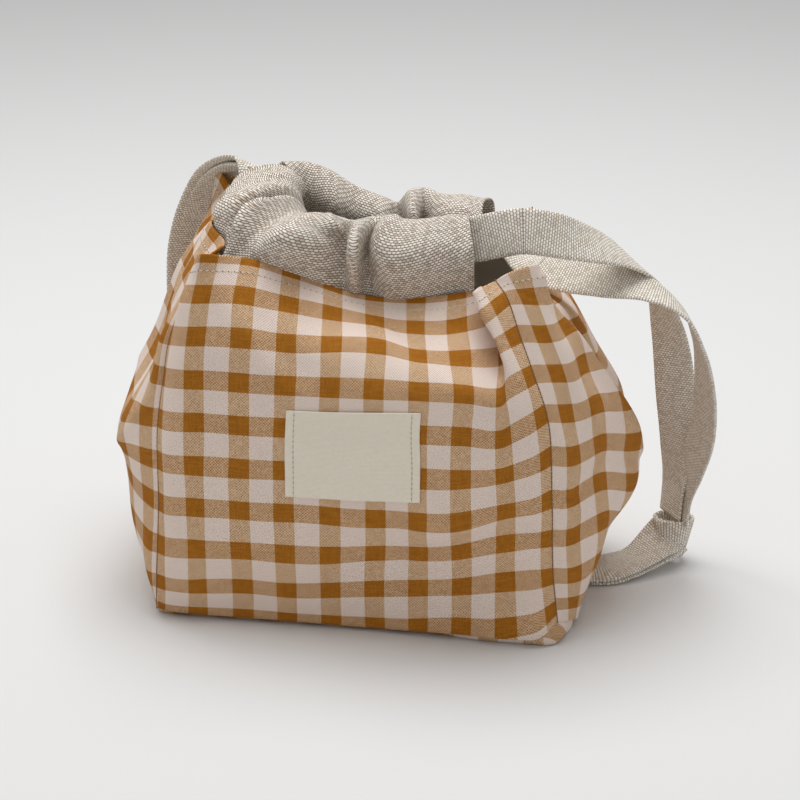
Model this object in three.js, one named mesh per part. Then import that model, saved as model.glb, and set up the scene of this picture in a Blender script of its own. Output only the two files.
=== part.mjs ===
// Drawstring project bag: a boxy gingham bag with a linen collar that two webbing straps draw in.
// Millimetres, +Z up. The origin is on the floor under the middle of the base, and the front faces -Y.
import * as THREE from "three";

// Cloth
const CLOTH = 1.2; // gingham with its interlining
const LINING = 0.8;
const LABEL_THICKNESS = 0.5;
const LINEN = 1.0; // one wall of the collar
const PLY_GAP = 0.3; // between two plies, and between two pieces at a seam

// Bag body
const BASE_WIDTH = 180;
const BASE_DEPTH = 120;
const BASE_THICKNESS = 3;
const WAIST_DEPTH = 116; // between the front and back corner seams, half way up
const WAIST_HEIGHT = 98;
const EAR_WIDTH = 140; // between the left and right top corners
const EAR_DEPTH = 104; // between the front and back top corners
const EAR_HEIGHT = 168;
const FRONT_SWELL = 16; // how far the front and back stand out past the base
const SWELL_HEIGHT = 58;
const SHOULDER_SWELL = 20; // the same where the front and back are fullest
const SHOULDER_HEIGHT = 110;
const BROW_SWELL = 10; // the same where the front and back lean in
const BROW_HEIGHT = 134;
const MOUTH_DEPTH = 76; // between the middles of the front and back top edges
const MOUTH_HEIGHT = 148;
const APEX_OUT = 32; // how far the right side's fold stands out past the base
const APEX_HEIGHT = 67;
const RIGHT_EDGE = 57; // from the middle of the bag to the middle of the right side's top edge
const RIGHT_EDGE_HEIGHT = 141;
const LEFT_SWELL = 27; // how far the left side stands out past the base
const LEFT_SWELL_HEIGHT = 64;
const LEFT_SHOULDER = 15; // the same where the left side leans in
const LEFT_SHOULDER_HEIGHT = 112;
const LEFT_EDGE = 75; // from the middle of the bag to the middle of the left side's top edge
const LEFT_EDGE_HEIGHT = 161;
const FOLD_OUT = 11; // how far a fold stands out at the front right corner
const FOLD_AROUND = 0.95; // where it is, in sides from the front left corner
const FOLD_SPAN = 0.6; // how far it reaches to either side, in sides
const FOLD_RISE = 0.6; // its height, as a share of the way up the cloth
const FOLD_REACH = 0.36; // how far it reaches up and down, in the same share
const FRONT_BOW = [3, 3]; // how square the front and back are across, at the base and at the top
const SIDE_BOW = [2, 1.3];
const CORNER_EASE = 0.05; // half the rounded stretch of the rim at a corner, in sides
const FRONT_COLUMNS = 14;
const SIDE_COLUMNS = 10;
const ROWS = 10;

// Label
const LABEL_WIDTH = 60;
const LABEL_HEIGHT = 40;
const LABEL_OFFSET = 1; // from the middle of the front
const LABEL_RISE = 91; // from the base seam to the label's middle, along the cloth
const LABEL_COLUMNS = 6;
const LABEL_ROWS = 4;

// Straps
const STRAP_WIDTH = 20;
const STRAP_THICKNESS = 1.6;
const STRAP_STEP = 9; // between cross-sections
const LEAD_STRAIGHT = 5; // how far a strap runs straight out of its casing
const KNOT_WIDTH = 30;
const KNOT_DEPTH = 15;
const KNOT_LENGTH = 22;
const KNOT_SHOULDER = 4; // how far its ends draw in
const KNOT_WAIST = 1.5; // how far its middle draws in
const KNOT_STEPS = 8;
const KNOT_SIDES = 18;

// Collar
const COLLAR_BAND = 9; // plain double cloth below the casing
const COLLAR_FOOT = 2.4; // thickness of that band
const COLLAR_LEAN = 0.45; // inward lean, radians
const COLLAR_CLEARANCE = 0.95; // above the cloth that it is sewn to
const CASING_PLAY = 1.5; // above and below the strap
const CASING_DEPTH = 7; // inside, across the strap
const GATHER_DEPTH = 2;
const GATHERS = 5;
const COLLAR_STATIONS = 30;
const CASING_SIDES = 12;

const { lerp, smoothstep } = THREE.MathUtils;
const UP = new THREE.Vector3(0, 0, 1);
const vector = (point) => new THREE.Vector3(...point);
const curve = (points) => new THREE.CatmullRomCurve3(points.map(vector), false, "centripetal");

const cottonPrint = { color: 0xc39a5c, roughness: 0.9, metalness: 0 };
const cottonPlain = { color: 0xd8cdbb, roughness: 0.9, metalness: 0 };
const linen = { color: 0xb3aa9a, roughness: 0.95, metalness: 0 };
const webbing = { color: 0xbab2a3, roughness: 0.92, metalness: 0 };
const labelCotton = { color: 0xdcd5c2, roughness: 0.9, metalness: 0 };

const bag = new THREE.Group();

// Adds one closed piece, turned so that its faces point outwards.
function addPiece(name, points, faces, finish) {
  let volume = 0;
  for (const [a, b, c] of faces) {
    volume += points[a].dot(points[b].clone().cross(points[c]));
  }
  const order = volume > 0 ? faces : faces.map(([a, b, c]) => [a, c, b]);
  const geometry = new THREE.BufferGeometry();
  geometry.setAttribute(
    "position",
    new THREE.Float32BufferAttribute(points.flatMap((p) => p.toArray()), 3),
  );
  geometry.setIndex(order.flat());
  geometry.computeVertexNormals();
  addGeometry(name, geometry, finish);
}

function addGeometry(name, geometry, finish) {
  const mesh = new THREE.Mesh(geometry, new THREE.MeshStandardMaterial(finish));
  mesh.name = name;
  bag.add(mesh);
  return mesh;
}

// Body shape: rails rise from the base seam to the top edge, at a corner and at the middle of the
// front, of the right side and of the left side, and every level of the body is drawn between them.
const baseTop = BASE_THICKNESS + PLY_GAP;
const cornerRail = curve([
  [BASE_WIDTH / 2, BASE_DEPTH / 2, baseTop],
  [BASE_WIDTH / 2, WAIST_DEPTH / 2, WAIST_HEIGHT],
  [EAR_WIDTH / 2, EAR_DEPTH / 2, EAR_HEIGHT],
]);
const frontRail = curve([
  [0, BASE_DEPTH / 2, baseTop],
  [0, BASE_DEPTH / 2 + FRONT_SWELL, SWELL_HEIGHT],
  [0, BASE_DEPTH / 2 + SHOULDER_SWELL, SHOULDER_HEIGHT],
  [0, BASE_DEPTH / 2 + BROW_SWELL, BROW_HEIGHT],
  [0, MOUTH_DEPTH / 2, MOUTH_HEIGHT],
]);
const rightRail = curve([
  [BASE_WIDTH / 2, 0, baseTop],
  [BASE_WIDTH / 2 + APEX_OUT, 0, APEX_HEIGHT],
  [RIGHT_EDGE, 0, RIGHT_EDGE_HEIGHT],
]);
const leftRail = curve([
  [BASE_WIDTH / 2, 0, baseTop],
  [BASE_WIDTH / 2 + LEFT_SWELL, 0, LEFT_SWELL_HEIGHT],
  [BASE_WIDTH / 2 + LEFT_SHOULDER, 0, LEFT_SHOULDER_HEIGHT],
  [LEFT_EDGE, 0, LEFT_EDGE_HEIGHT],
]);
const middleRails = [frontRail, rightRail, frontRail, leftRail];

// 1 in the middle, falling smoothly to 0 one unit away.
function bell(distance) {
  return Math.max(0, 1 - distance * distance) ** 2;
}

// The fold at the front right corner, pointing forwards on the front and to the right on the side.
function cornerFold(turn, rise) {
  const size = bell((turn - FOLD_AROUND) / FOLD_SPAN) * bell((rise - FOLD_RISE) / FOLD_REACH);
  const facing = ((turn - 1.5) * Math.PI) / 2;
  return vector([Math.cos(facing), Math.sin(facing), 0]).multiplyScalar(FOLD_OUT * size);
}

// A point of the body before its corners are eased. around counts sides: 0 to 1 is the front from
// left to right, then the right side, the back and the left side. rise is 0 at the base, 1 at the top.
function rawPoint(around, rise) {
  const turn = THREE.MathUtils.euclideanModulo(around, 4);
  const side = Math.floor(turn);
  const across = 2 * (turn - side) - 1;
  const isFront = side % 2 === 0;
  const corner = cornerRail.getPointAt(rise);
  const middle = middleRails[side].getPointAt(rise);
  const [baseBow, topBow] = isFront ? FRONT_BOW : SIDE_BOW;
  const reach = Math.abs(across) ** lerp(baseBow, topBow, rise);
  const height = lerp(middle.z, corner.z, reach);
  const facing = side < 2 ? 1 : -1;
  const fold = cornerFold(turn, rise);
  if (isFront) {
    const depth = lerp(middle.y, corner.y, reach);
    return vector([facing * across * corner.x, -facing * depth, height]).add(fold);
  }
  const width = lerp(middle.x, corner.x, reach);
  return vector([facing * width, facing * across * corner.y, height]).add(fold);
}

function outerPoint(around, rise) {
  const sum = new THREE.Vector3();
  const taps = [-1, -0.5, 0, 0.5, 1];
  for (const tap of taps) {
    sum.add(rawPoint(around + tap * CORNER_EASE, rise));
  }
  return sum.divideScalar(taps.length);
}

// The direction out of the cloth.
function outwards(around, rise) {
  const nudge = 0.01;
  const sideways = outerPoint(around + nudge, rise).sub(outerPoint(around - nudge, rise));
  const above = outerPoint(around, Math.min(1, rise + nudge));
  const upwards = above.sub(outerPoint(around, Math.max(0, rise - nudge)));
  return sideways.cross(upwards).normalize();
}

// A point at a depth under the outer face of the body.
function clothPoint(around, rise, depth) {
  return outerPoint(around, rise).addScaledVector(outwards(around, rise), -depth);
}

// Cuts one piece of cloth out of the body's shape, between two depths. seam is what the left and
// right edges stand back from their seams, and both pieces at a seam end in parallel walls.
function addCloth(name, cut, finish) {
  const { around: [left, right], rise: [low, high], depth: depths, seam, columns, rows } = cut;
  const points = [];
  for (const depth of depths) {
    for (let row = 0; row <= rows; row += 1) {
      const level = lerp(low, high, row / rows);
      for (let column = 0; column <= columns; column += 1) {
        const share = column / columns;
        const facing = outwards(lerp(left, right, share), level);
        const point = outerPoint(lerp(left + seam, right - seam, share), level);
        points.push(point.addScaledVector(facing, -depth));
      }
    }
  }
  const back = (columns + 1) * (rows + 1);
  const at = (column, row) => row * (columns + 1) + column;
  const faces = [];
  for (let row = 0; row < rows; row += 1) {
    for (let column = 0; column < columns; column += 1) {
      const [a, b] = [at(column, row), at(column + 1, row)];
      const [c, d] = [at(column + 1, row + 1), at(column, row + 1)];
      faces.push([a, b, c], [a, c, d], [back + a, back + c, back + b], [back + a, back + d, back + c]);
    }
  }
  const rim = [];
  for (let column = 0; column < columns; column += 1) rim.push(at(column, 0));
  for (let row = 0; row < rows; row += 1) rim.push(at(columns, row));
  for (let column = columns; column > 0; column -= 1) rim.push(at(column, rows));
  for (let row = rows; row > 0; row -= 1) rim.push(at(0, row));
  rim.forEach((a, i) => {
    const b = rim[(i + 1) % rim.length];
    faces.push([a, back + a, back + b], [a, back + b, b]);
  });
  addPiece(name, points, faces, finish);
}

// Outer panels and lining, seam to seam
const liningTop = CLOTH + PLY_GAP;
const liningBack = liningTop + LINING;
const sides = ["front", "right", "back", "left"];
sides.forEach((side, index) => {
  const isFront = index % 2 === 0;
  const cut = {
    around: [index, index + 1],
    rise: [0, 1],
    seam: PLY_GAP / (isFront ? BASE_WIDTH : BASE_DEPTH),
    columns: isFront ? FRONT_COLUMNS : SIDE_COLUMNS,
    rows: ROWS,
  };
  addCloth(`${side}_panel`, { ...cut, depth: [0, CLOTH] }, cottonPrint);
  addCloth(`${side}_lining`, { ...cut, depth: [liningTop, liningBack] }, cottonPlain);
});

// A flat piece with the body's outline at the base, set in by a margin.
function addFloor(name, margin, low, thickness, finish) {
  const corners = [];
  sides.forEach((side, index) => {
    const columns = index % 2 === 0 ? FRONT_COLUMNS : SIDE_COLUMNS;
    for (let column = 0; column < columns; column += 1) {
      const { x, y } = clothPoint(index + column / columns, 0, margin);
      corners.push(new THREE.Vector2(x, y));
    }
  });
  const outline = new THREE.Shape(corners);
  const geometry = new THREE.ExtrudeGeometry(outline, { depth: thickness, bevelEnabled: false });
  addGeometry(name, geometry, finish).position.z = low;
}
addFloor("base_panel", 0, 0, BASE_THICKNESS, cottonPrint);
addFloor("base_lining", liningBack + PLY_GAP, baseTop, LINING, cottonPlain);

const labelAcross = 0.5 + LABEL_OFFSET / BASE_WIDTH;
const labelRise = LABEL_RISE / frontRail.getLength();
const labelHalf = [LABEL_WIDTH / 2 / BASE_WIDTH, LABEL_HEIGHT / 2 / frontRail.getLength()];
const labelCut = {
  around: [labelAcross - labelHalf[0], labelAcross + labelHalf[0]],
  rise: [labelRise - labelHalf[1], labelRise + labelHalf[1]],
  depth: [-PLY_GAP - LABEL_THICKNESS, -PLY_GAP],
  seam: 0,
  columns: LABEL_COLUMNS,
  rows: LABEL_ROWS,
};
addCloth("label", labelCut, labelCotton);

// Collar: each half is a folded linen strip. Its foot stands on a top edge of the body, and the
// casing above the foot is a tube, open at both ends, for the strap.
const casingHalf = STRAP_WIDTH / 2 + CASING_PLAY;
const casingMiddle = COLLAR_BAND + LINEN + casingHalf;
const footDepth = liningBack / 2;
function topEdge(around) {
  return clothPoint(around, 1, footDepth).addScaledVector(UP, COLLAR_CLEARANCE);
}
function besideEar(across, back, rise) {
  return vector([-EAR_WIDTH * across, EAR_DEPTH * back, EAR_HEIGHT * rise]);
}
const frontFoot = new THREE.CatmullRomCurve3(
  [
    ...[0.86, 0.7, 0.55, 0.38, 0.22, 0.12].map(topEdge),
    besideEar(0.46, -0.28, 0.965),
    besideEar(0.49, -0.11, 0.965),
    besideEar(0.47, 0.05, 0.975),
  ],
  false,
  "centripetal",
);
const backFoot = new THREE.CatmullRomCurve3(
  [2.88, 2.78, 2.62, 2.45, 2.3, 2.18].map(topEdge),
  false,
  "centripetal",
);

// The foot of the collar at a share of its run, with the directions along, up and out of the cloth.
function collarFrame(foot, share) {
  const run = foot.getTangentAt(share).setZ(0).normalize();
  const inwards = run.clone().cross(UP);
  const leaf = inwards.clone().multiplyScalar(Math.sin(COLLAR_LEAN));
  leaf.addScaledVector(UP, Math.cos(COLLAR_LEAN));
  return { point: foot.getPointAt(share), run, leaf, out: run.clone().cross(leaf).negate() };
}

function collarPoint(foot, share, height, thick) {
  const { point, leaf, out } = collarFrame(foot, share);
  const gather = GATHER_DEPTH * Math.sin(2 * Math.PI * GATHERS * share);
  const wave = gather * smoothstep(height, 0, COLLAR_BAND);
  return point.addScaledVector(leaf, height).addScaledVector(out, thick + wave);
}

function casingEllipse(wall, from, to, steps) {
  const ring = [];
  for (let i = 0; i <= steps; i += 1) {
    const angle = lerp(from, to, i / steps);
    const height = casingMiddle - (casingHalf + wall) * Math.cos(angle);
    ring.push(new THREE.Vector2(height, -(CASING_DEPTH / 2 + wall) * Math.sin(angle)));
  }
  return ring;
}

function addCollar(name, foot) {
  const join = Math.asin(COLLAR_FOOT / 2 / (CASING_DEPTH / 2 + LINEN));
  const skin = casingEllipse(LINEN, join, 2 * Math.PI - join, CASING_SIDES);
  skin.push(new THREE.Vector2(0, COLLAR_FOOT / 2), new THREE.Vector2(0, -COLLAR_FOOT / 2));
  const bore = casingEllipse(0, 0, 2 * Math.PI, CASING_SIDES).slice(1).reverse();
  const section = [...skin, ...bore];
  const size = section.length;
  const points = [];
  for (let station = 0; station <= COLLAR_STATIONS; station += 1) {
    for (const { x, y } of section) {
      points.push(collarPoint(foot, station / COLLAR_STATIONS, x, y));
    }
  }
  const faces = [];
  for (const [first, count] of [[0, skin.length], [skin.length, bore.length]]) {
    for (let station = 0; station < COLLAR_STATIONS; station += 1) {
      for (let i = 0; i < count; i += 1) {
        const a = station * size + first + i;
        const b = station * size + first + ((i + 1) % count);
        faces.push([a, b, b + size], [a, b + size, a + size]);
      }
    }
  }
  const last = COLLAR_STATIONS * size;
  for (const [a, b, c] of THREE.ShapeUtils.triangulateShape(skin, [bore])) {
    faces.push([a, c, b], [last + a, last + b, last + c]);
  }
  addPiece(name, points, faces, linen);
}
addCollar("front_collar", frontFoot);
addCollar("back_collar", backFoot);

// Straps: flat webbing, built from the four corners of each cross-section along it.
const SECTION = [[-1, -1], [1, -1], [1, 1], [-1, 1]];
function addStrap(name, sections) {
  const points = sections.flat();
  const faces = [[0, 2, 1], [0, 3, 2]];
  for (let i = 0; i < sections.length - 1; i += 1) {
    for (let side = 0; side < 4; side += 1) {
      const a = 4 * i + side;
      const b = 4 * i + ((side + 1) % 4);
      faces.push([a, b, b + 4], [a, b + 4, a + 4]);
    }
  }
  const last = 4 * (sections.length - 1);
  faces.push([last, last + 1, last + 2], [last, last + 2, last + 3]);
  addPiece(name, points, faces, webbing);
}

// Cross-sections of a free strap along its route, from one length to another.
function freeSections(route, from, step, to = Infinity) {
  const path = curve(route.map((point) => point.slice(0, 3)));
  const turn = curve(route.map((point) => point.slice(3)));
  const total = path.getLength();
  const end = Math.min(to, total);
  const count = Math.max(3, Math.round((end - from) / step));
  const sections = [];
  for (let i = 0; i <= count; i += 1) {
    const spot = path.getUtoTmapping(lerp(from, end, i / count) / total);
    const along = path.getTangent(spot);
    const across = turn.getPoint(spot);
    const wide = across.addScaledVector(along, -across.dot(along)).normalize();
    const thick = along.cross(wide);
    sections.push(
      SECTION.map(([w, t]) => {
        const edge = path.getPoint(spot).addScaledVector(wide, (w * STRAP_WIDTH) / 2);
        return edge.addScaledVector(thick, (t * STRAP_THICKNESS) / 2);
      }),
    );
  }
  return sections;
}

// The strap's cross-section inside the casing.
function casingSection(foot, share) {
  return SECTION.map(([w, t]) =>
    collarPoint(foot, share, casingMiddle + (w * STRAP_WIDTH) / 2, (t * STRAP_THICKNESS) / 2),
  );
}

// Free stretches, from the collar's ends to the knots: place, then direction across the strap.
const rightFrontRoute = [
  [70, -27.5, 178, 0, 0.4, 0.9],
  [82, -24, 176, 0, 0.45, 0.85],
  [95, -16, 171, -0.3, 0.65, 0.6],
  [108, -3, 162, -0.7, 0.7, 0.1],
  [117, 13, 149, -0.95, 0.3, 0],
  [123, 26, 131, -1, 0.2, 0],
  [128, 33, 111, -1, 0.1, 0],
  [131, 38, 83, -1, 0, 0],
  [132, 42, 51, -1, 0, 0],
  [132, 43.5, 36, -1, 0, 0],
  [132, 43.5, 27, -1, 0, 0],
];
const rightBackRoute = [
  [72, 7, 151, 0, -0.97, -0.2],
  [84, 2, 150, 0, -0.93, -0.35],
  [101, -3, 150, 0, -0.9, -0.42],
  [123, -8, 148, 0, -0.95, -0.3],
  [141, -6, 137, 0.1, -1, 0],
  [149, -1, 122, 0.3, -0.95, 0],
  [153, 8, 101, 0.5, -0.85, 0],
  [152, 19, 75, 0.7, -0.7, 0],
  [145, 31, 52, 0.9, -0.4, 0],
  [137, 39.8, 36, 1, 0, 0],
  [136.5, 40.3, 27, 1, 0, 0],
];
const leftFrontRoute = [
  [-66, 31, 190, 0.7, 0.6, 0.4],
  [-76, 38, 189, 0.5, 0.85, 0.1],
  [-88, 43, 183, 0.5, 0.85, 0],
  [-99, 50, 167, 0.6, 0.8, 0],
  [-107, 57, 146, 0.7, 0.7, 0],
  [-110, 64, 120, 0.8, 0.55, 0],
  [-110, 70, 90, 0.9, 0.4, 0],
  [-107, 76, 60, 1, 0.2, 0],
  [-104.5, 79.8, 36, 1, 0, 0],
  [-104, 80, 27, 1, 0, 0],
];
const leftBackRoute = [
  [-68, 36, 180, -0.1, -0.8, 0.5],
  [-77, 41, 180, -0.4, -0.85, 0.1],
  [-86, 46, 176, -0.5, -0.85, 0],
  [-96, 52, 161, -0.6, -0.8, 0],
  [-103, 58, 141, -0.7, -0.7, 0],
  [-106, 63, 117, -0.8, -0.55, 0],
  [-106, 68, 88, -0.9, -0.4, 0],
  [-104, 73, 58, -1, -0.2, 0],
  [-103.5, 76.3, 36, -1, 0, 0],
  [-103, 76.5, 27, -1, 0, 0],
];

// One strap runs through each half of the collar. At each end a lead comes out of the casing, as far
// as the first point of its route, and a free strand goes on from there.
function addStrapThrough(half, foot, ends) {
  const casing = [];
  for (let station = 0; station <= COLLAR_STATIONS; station += 1) {
    casing.push(casingSection(foot, station / COLLAR_STATIONS));
  }
  addStrap(`${half}_strap_run`, casing);
  ends.forEach(({ side, route }, share) => {
    const { run, leaf } = collarFrame(foot, share);
    const exit = collarPoint(foot, share, casingMiddle, 0);
    const clear = exit.clone().addScaledVector(run, share === 0 ? -LEAD_STRAIGHT : LEAD_STRAIGHT);
    const straight = [exit, clear].map((point) => [...point.toArray(), ...leaf.toArray()]);
    const lead = LEAD_STRAIGHT + clear.distanceTo(vector(route[0]));
    const whole = [...straight, ...route];
    addStrap(`${side}_${half}_lead`, freeSections(whole, PLY_GAP, lead / 5, lead));
    addStrap(`${side}_${half}_strand`, freeSections(whole, lead + PLY_GAP, STRAP_STEP));
  });
}
addStrapThrough("front", frontFoot, [
  { side: "right", route: rightFrontRoute },
  { side: "left", route: leftFrontRoute },
]);
addStrapThrough("back", backFoot, [
  { side: "left", route: leftBackRoute },
  { side: "right", route: rightBackRoute },
]);

// Knots: the two straps of a side are tied together, and their ends stand out of the knot.
function addKnot(name, top) {
  const half = KNOT_WIDTH / 2;
  const profile = new THREE.SplineCurve([
    new THREE.Vector2(half - KNOT_SHOULDER, 0),
    new THREE.Vector2(half, KNOT_LENGTH / 4),
    new THREE.Vector2(half - KNOT_WAIST, KNOT_LENGTH / 2),
    new THREE.Vector2(half, (3 * KNOT_LENGTH) / 4),
    new THREE.Vector2(half - KNOT_SHOULDER, KNOT_LENGTH),
  ]);
  const outline = profile.getPoints(KNOT_STEPS);
  outline.unshift(new THREE.Vector2(0, 0));
  outline.push(new THREE.Vector2(0, KNOT_LENGTH));
  const geometry = new THREE.LatheGeometry(outline, KNOT_SIDES);
  geometry.rotateX(Math.PI / 2);
  geometry.scale(1, KNOT_DEPTH / KNOT_WIDTH, 1);
  addGeometry(name, geometry, webbing).position.set(top[0], top[1], top[2] - KNOT_LENGTH);
}
addKnot("right_knot", [134.3, 41.9, 26.4]);
addKnot("left_knot", [-103.5, 78.2, 26.4]);

// The straps' ends beyond the knots, which lie on the floor.
const tailRoutes = {
  right_upper_tail: [
    [120, 38.2, 10, 0.4, -0.4, -0.7],
    [115, 24, 9.5, 0.55, -0.3, -0.75],
    [109, 10, 9, 0.55, -0.3, -0.75],
    [105, 1, 9, 0.55, -0.3, -0.75],
  ],
  right_lower_tail: [
    [125.7, 35.4, 10, 0.5, -0.4, -0.7],
    [118.5, 22, 9.5, 0.55, -0.3, -0.75],
    [112.5, 9, 9, 0.55, -0.3, -0.75],
  ],
  left_upper_tail: [
    [-88, 80, 10, 0, 0.6, -0.75],
    [-74, 83, 9.5, 0, 0.65, -0.75],
    [-58, 84, 9, 0, 0.65, -0.75],
  ],
  left_lower_tail: [
    [-90.2, 83.7, 10, 0, 0.6, -0.75],
    [-75, 87, 9.5, 0, 0.65, -0.75],
    [-62, 88, 9, 0, 0.65, -0.75],
  ],
};
for (const [name, route] of Object.entries(tailRoutes)) {
  addStrap(name, freeSections(route, 0, STRAP_STEP));
}

export default bag;
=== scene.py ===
import math

import bpy
import numpy as np
from mathutils import Matrix, Vector


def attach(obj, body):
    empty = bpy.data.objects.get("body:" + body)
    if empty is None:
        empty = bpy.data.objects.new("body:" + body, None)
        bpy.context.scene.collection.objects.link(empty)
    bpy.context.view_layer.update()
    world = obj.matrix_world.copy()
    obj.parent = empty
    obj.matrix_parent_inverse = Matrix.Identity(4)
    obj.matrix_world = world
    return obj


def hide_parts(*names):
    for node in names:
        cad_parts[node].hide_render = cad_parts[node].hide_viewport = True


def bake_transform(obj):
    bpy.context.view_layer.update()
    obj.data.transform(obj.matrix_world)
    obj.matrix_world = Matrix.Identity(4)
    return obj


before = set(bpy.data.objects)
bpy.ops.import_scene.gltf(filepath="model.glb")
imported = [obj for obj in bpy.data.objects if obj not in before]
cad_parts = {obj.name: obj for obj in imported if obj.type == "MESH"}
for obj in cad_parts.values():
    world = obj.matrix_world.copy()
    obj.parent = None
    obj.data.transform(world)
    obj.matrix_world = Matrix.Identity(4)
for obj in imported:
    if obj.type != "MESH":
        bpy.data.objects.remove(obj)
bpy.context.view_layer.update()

MM = 0.001
CLOTH = 1.2  # gingham with its interlining, mm
LINING = 0.8
LINEN = 1.0
TAPE = 0.55
CHECK = 20.0  # one dark and one pale square of the gingham
PANEL = 180.0  # height of the four panels as cut
STRAP = 20.0  # webbing width
STRAP_THICK = 1.6
STRAP_STEP = 1.5  # between two rings of a strap
CLOTH_STEP = 1.5  # between two points of a panel


def spline(knots, values, at):
    """Smooth curve through values, given at rising knots, read at other places."""
    knots = np.asarray(knots, float)
    values = np.asarray(values, float)
    at = np.asarray(at, float)
    slope = np.gradient(values, knots, axis=0)
    i = np.clip(np.searchsorted(knots, at, side="right") - 1, 0, len(knots) - 2)
    column = (-1,) + (1,) * (values.ndim - 1)
    h = (knots[i + 1] - knots[i]).reshape(column)
    t = (at - knots[i]).reshape(column) / h
    rise = t * t * (3 - 2 * t)
    return (
        (1 - rise) * values[i]
        + rise * values[i + 1]
        + t * (1 - t) ** 2 * h * slope[i]
        - t * t * (1 - t) * h * slope[i + 1]
    )


def unit(vectors):
    """The vectors at length 1."""
    size = np.linalg.norm(vectors, axis=-1, keepdims=True)
    return vectors / np.maximum(size, 1e-9)


def smoothstep(low, high, x):
    """0 below low, 1 above high, and an even rise between them."""
    t = np.clip((x - low) / (high - low), 0, 1)
    return t * t * (3 - 2 * t)


def grid_normals(grid):
    """Outward normal at each point of a grid of rows and columns."""
    return unit(np.cross(np.gradient(grid, axis=1), np.gradient(grid, axis=0)))


def ring_normals(rings):
    """Outward normal at each point of a tube of closed rings."""
    around = (np.roll(rings, -1, axis=1) - np.roll(rings, 1, axis=1)) / 2
    return unit(np.cross(np.gradient(rings, axis=0), around))


def way_to_line(u, v, line):
    """Distance from each place to a line of (u, v) points, and the way there."""
    best = np.full(u.shape, np.inf)
    way = np.zeros(u.shape + (2,))
    for (u0, v0), (u1, v1) in zip(line, line[1:]):
        du, dv = u1 - u0, v1 - v0
        along = np.clip(((u - u0) * du + (v - v0) * dv) / (du * du + dv * dv), 0, 1)
        to_line = np.stack([u0 + along * du - u, v0 + along * dv - v], axis=-1)
        off = np.linalg.norm(to_line, axis=-1)
        nearer = off < best
        best = np.where(nearer, off, best)
        way = np.where(nearer[..., None], to_line, way)
    return best, way


def creases(u, v, lines, power=2.0):
    """Height field of soft ridges and valleys along lines of (points, width, height)."""
    field = np.zeros_like(u)
    for line, width, height in lines:
        off, _ = way_to_line(u, v, line)
        field += height * np.exp(-((off / width) ** power))
    return field


DEEP = -3.0  # a valley this deep closes over
CLOSING = 0.42  # how far, as a share of its depth


def pinches(u, v, lines):
    """How far the cloth beside each deep valley closes over it, along u and v."""
    shift = np.zeros(u.shape + (2,))
    for line, width, height in lines:
        if height > DEEP:
            continue
        off, way = way_to_line(u, v, line)
        share = off / width
        close = -CLOSING * height * share * np.exp(-(share**2) / 2)
        shift += unit(way) * close[..., None]
    return shift


WAVES = 9  # waves laid over each other


def waves(u, v, seed, size, length):
    """Gentle irregular waves of about that height and length."""
    rng = np.random.default_rng(seed)
    field = np.zeros_like(u)
    for _ in range(WAVES):
        angle = rng.uniform(0, math.pi)
        k = 2 * math.pi / (length * rng.uniform(0.7, 1.6))
        phase = rng.uniform(0, 2 * math.pi)
        field += np.sin(k * (u * math.cos(angle) + v * math.sin(angle)) + phase)
    return field * size / math.sqrt(WAVES)


def add_object(name, data):
    """An object of that data in the scene."""
    obj = bpy.data.objects.new(name, data)
    bpy.context.scene.collection.objects.link(obj)
    return obj


def make_mesh(name, points, faces, uvs, material):
    """A smooth mesh object from points in mm."""
    mesh = bpy.data.meshes.new(name)
    mesh.from_pydata((np.asarray(points, float) * MM).tolist(), [], faces)
    layer = mesh.uv_layers.new(name="UVMap")
    corner = np.empty(len(mesh.loops), dtype=np.int32)
    mesh.loops.foreach_get("vertex_index", corner)
    layer.data.foreach_set("uv", np.asarray(uvs, np.float32)[corner].ravel())
    mesh.shade_smooth()
    mesh.materials.append(material)
    mesh.update()
    return add_object(name, mesh)


def quads(rows, columns, first=0, flip=False):
    """Faces of a grid whose points start at number first."""
    faces = []
    for r in range(rows - 1):
        for c in range(columns - 1):
            a = first + r * columns + c
            face = (a, a + 1, a + columns + 1, a + columns)
            faces.append(face[::-1] if flip else face)
    return faces


def ring_quads(rows, columns):
    """Faces between closed rings of points."""
    faces = []
    for r in range(rows - 1):
        for c in range(columns):
            a, b = r * columns + c, r * columns + (c + 1) % columns
            faces.append((a, b, b + columns, a + columns))
    return faces


def border(rows, columns):
    """Point numbers round the edge of a grid, anticlockwise seen from outside."""
    bottom = list(range(columns))
    right = [r * columns + columns - 1 for r in range(1, rows)]
    top = [(rows - 1) * columns + c for c in range(columns - 2, -1, -1)]
    left = [r * columns for r in range(rows - 2, 0, -1)]
    return bottom + right + top + left


EDGE_TURNS = (0.25, 0.5, 0.75)  # rings of a sheet's edge, as shares of the half turn


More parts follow.
